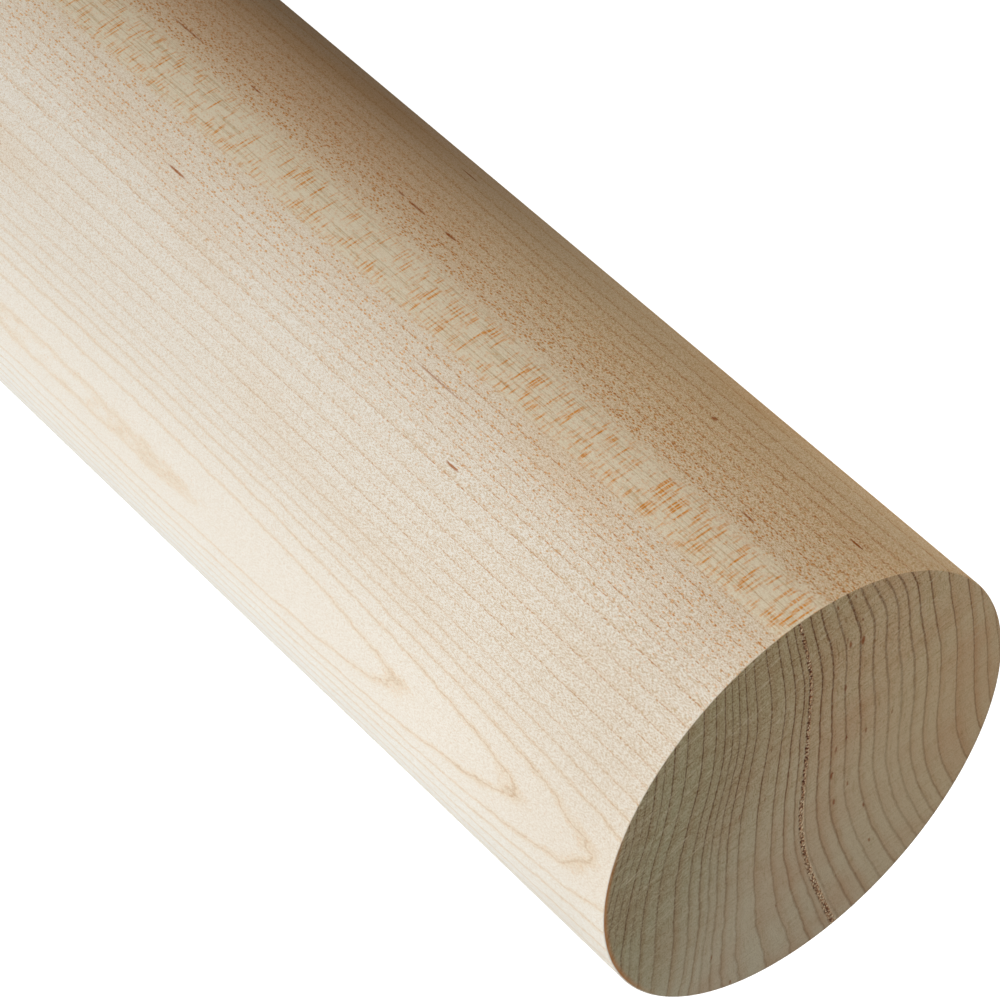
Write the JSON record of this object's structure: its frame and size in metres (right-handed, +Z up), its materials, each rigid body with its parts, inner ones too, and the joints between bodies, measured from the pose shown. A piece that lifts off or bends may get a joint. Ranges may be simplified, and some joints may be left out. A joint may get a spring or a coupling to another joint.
{
  "type": "wooden dowel rod",
  "caption": "Plain round wooden rod of constant diameter with square-cut, lightly eased ends, for turning stock, pegs, rails and rollers.",
  "frame": {"origin": "centre of the lower sawn end, on the surface that the rod stands on", "axes": "+Z up the rod's axis; X and Y lie in the sawn end, with the rod's best-lit flank towards +X"},
  "size_m": [0.0762, 0.0762, 0.3048],
  "materials": {
    "maple": "sanded smooth and unfinished"
  },
  "bodies": {
    "root": {"dowel_rod": "maple"}
  },
  "joints": []
}
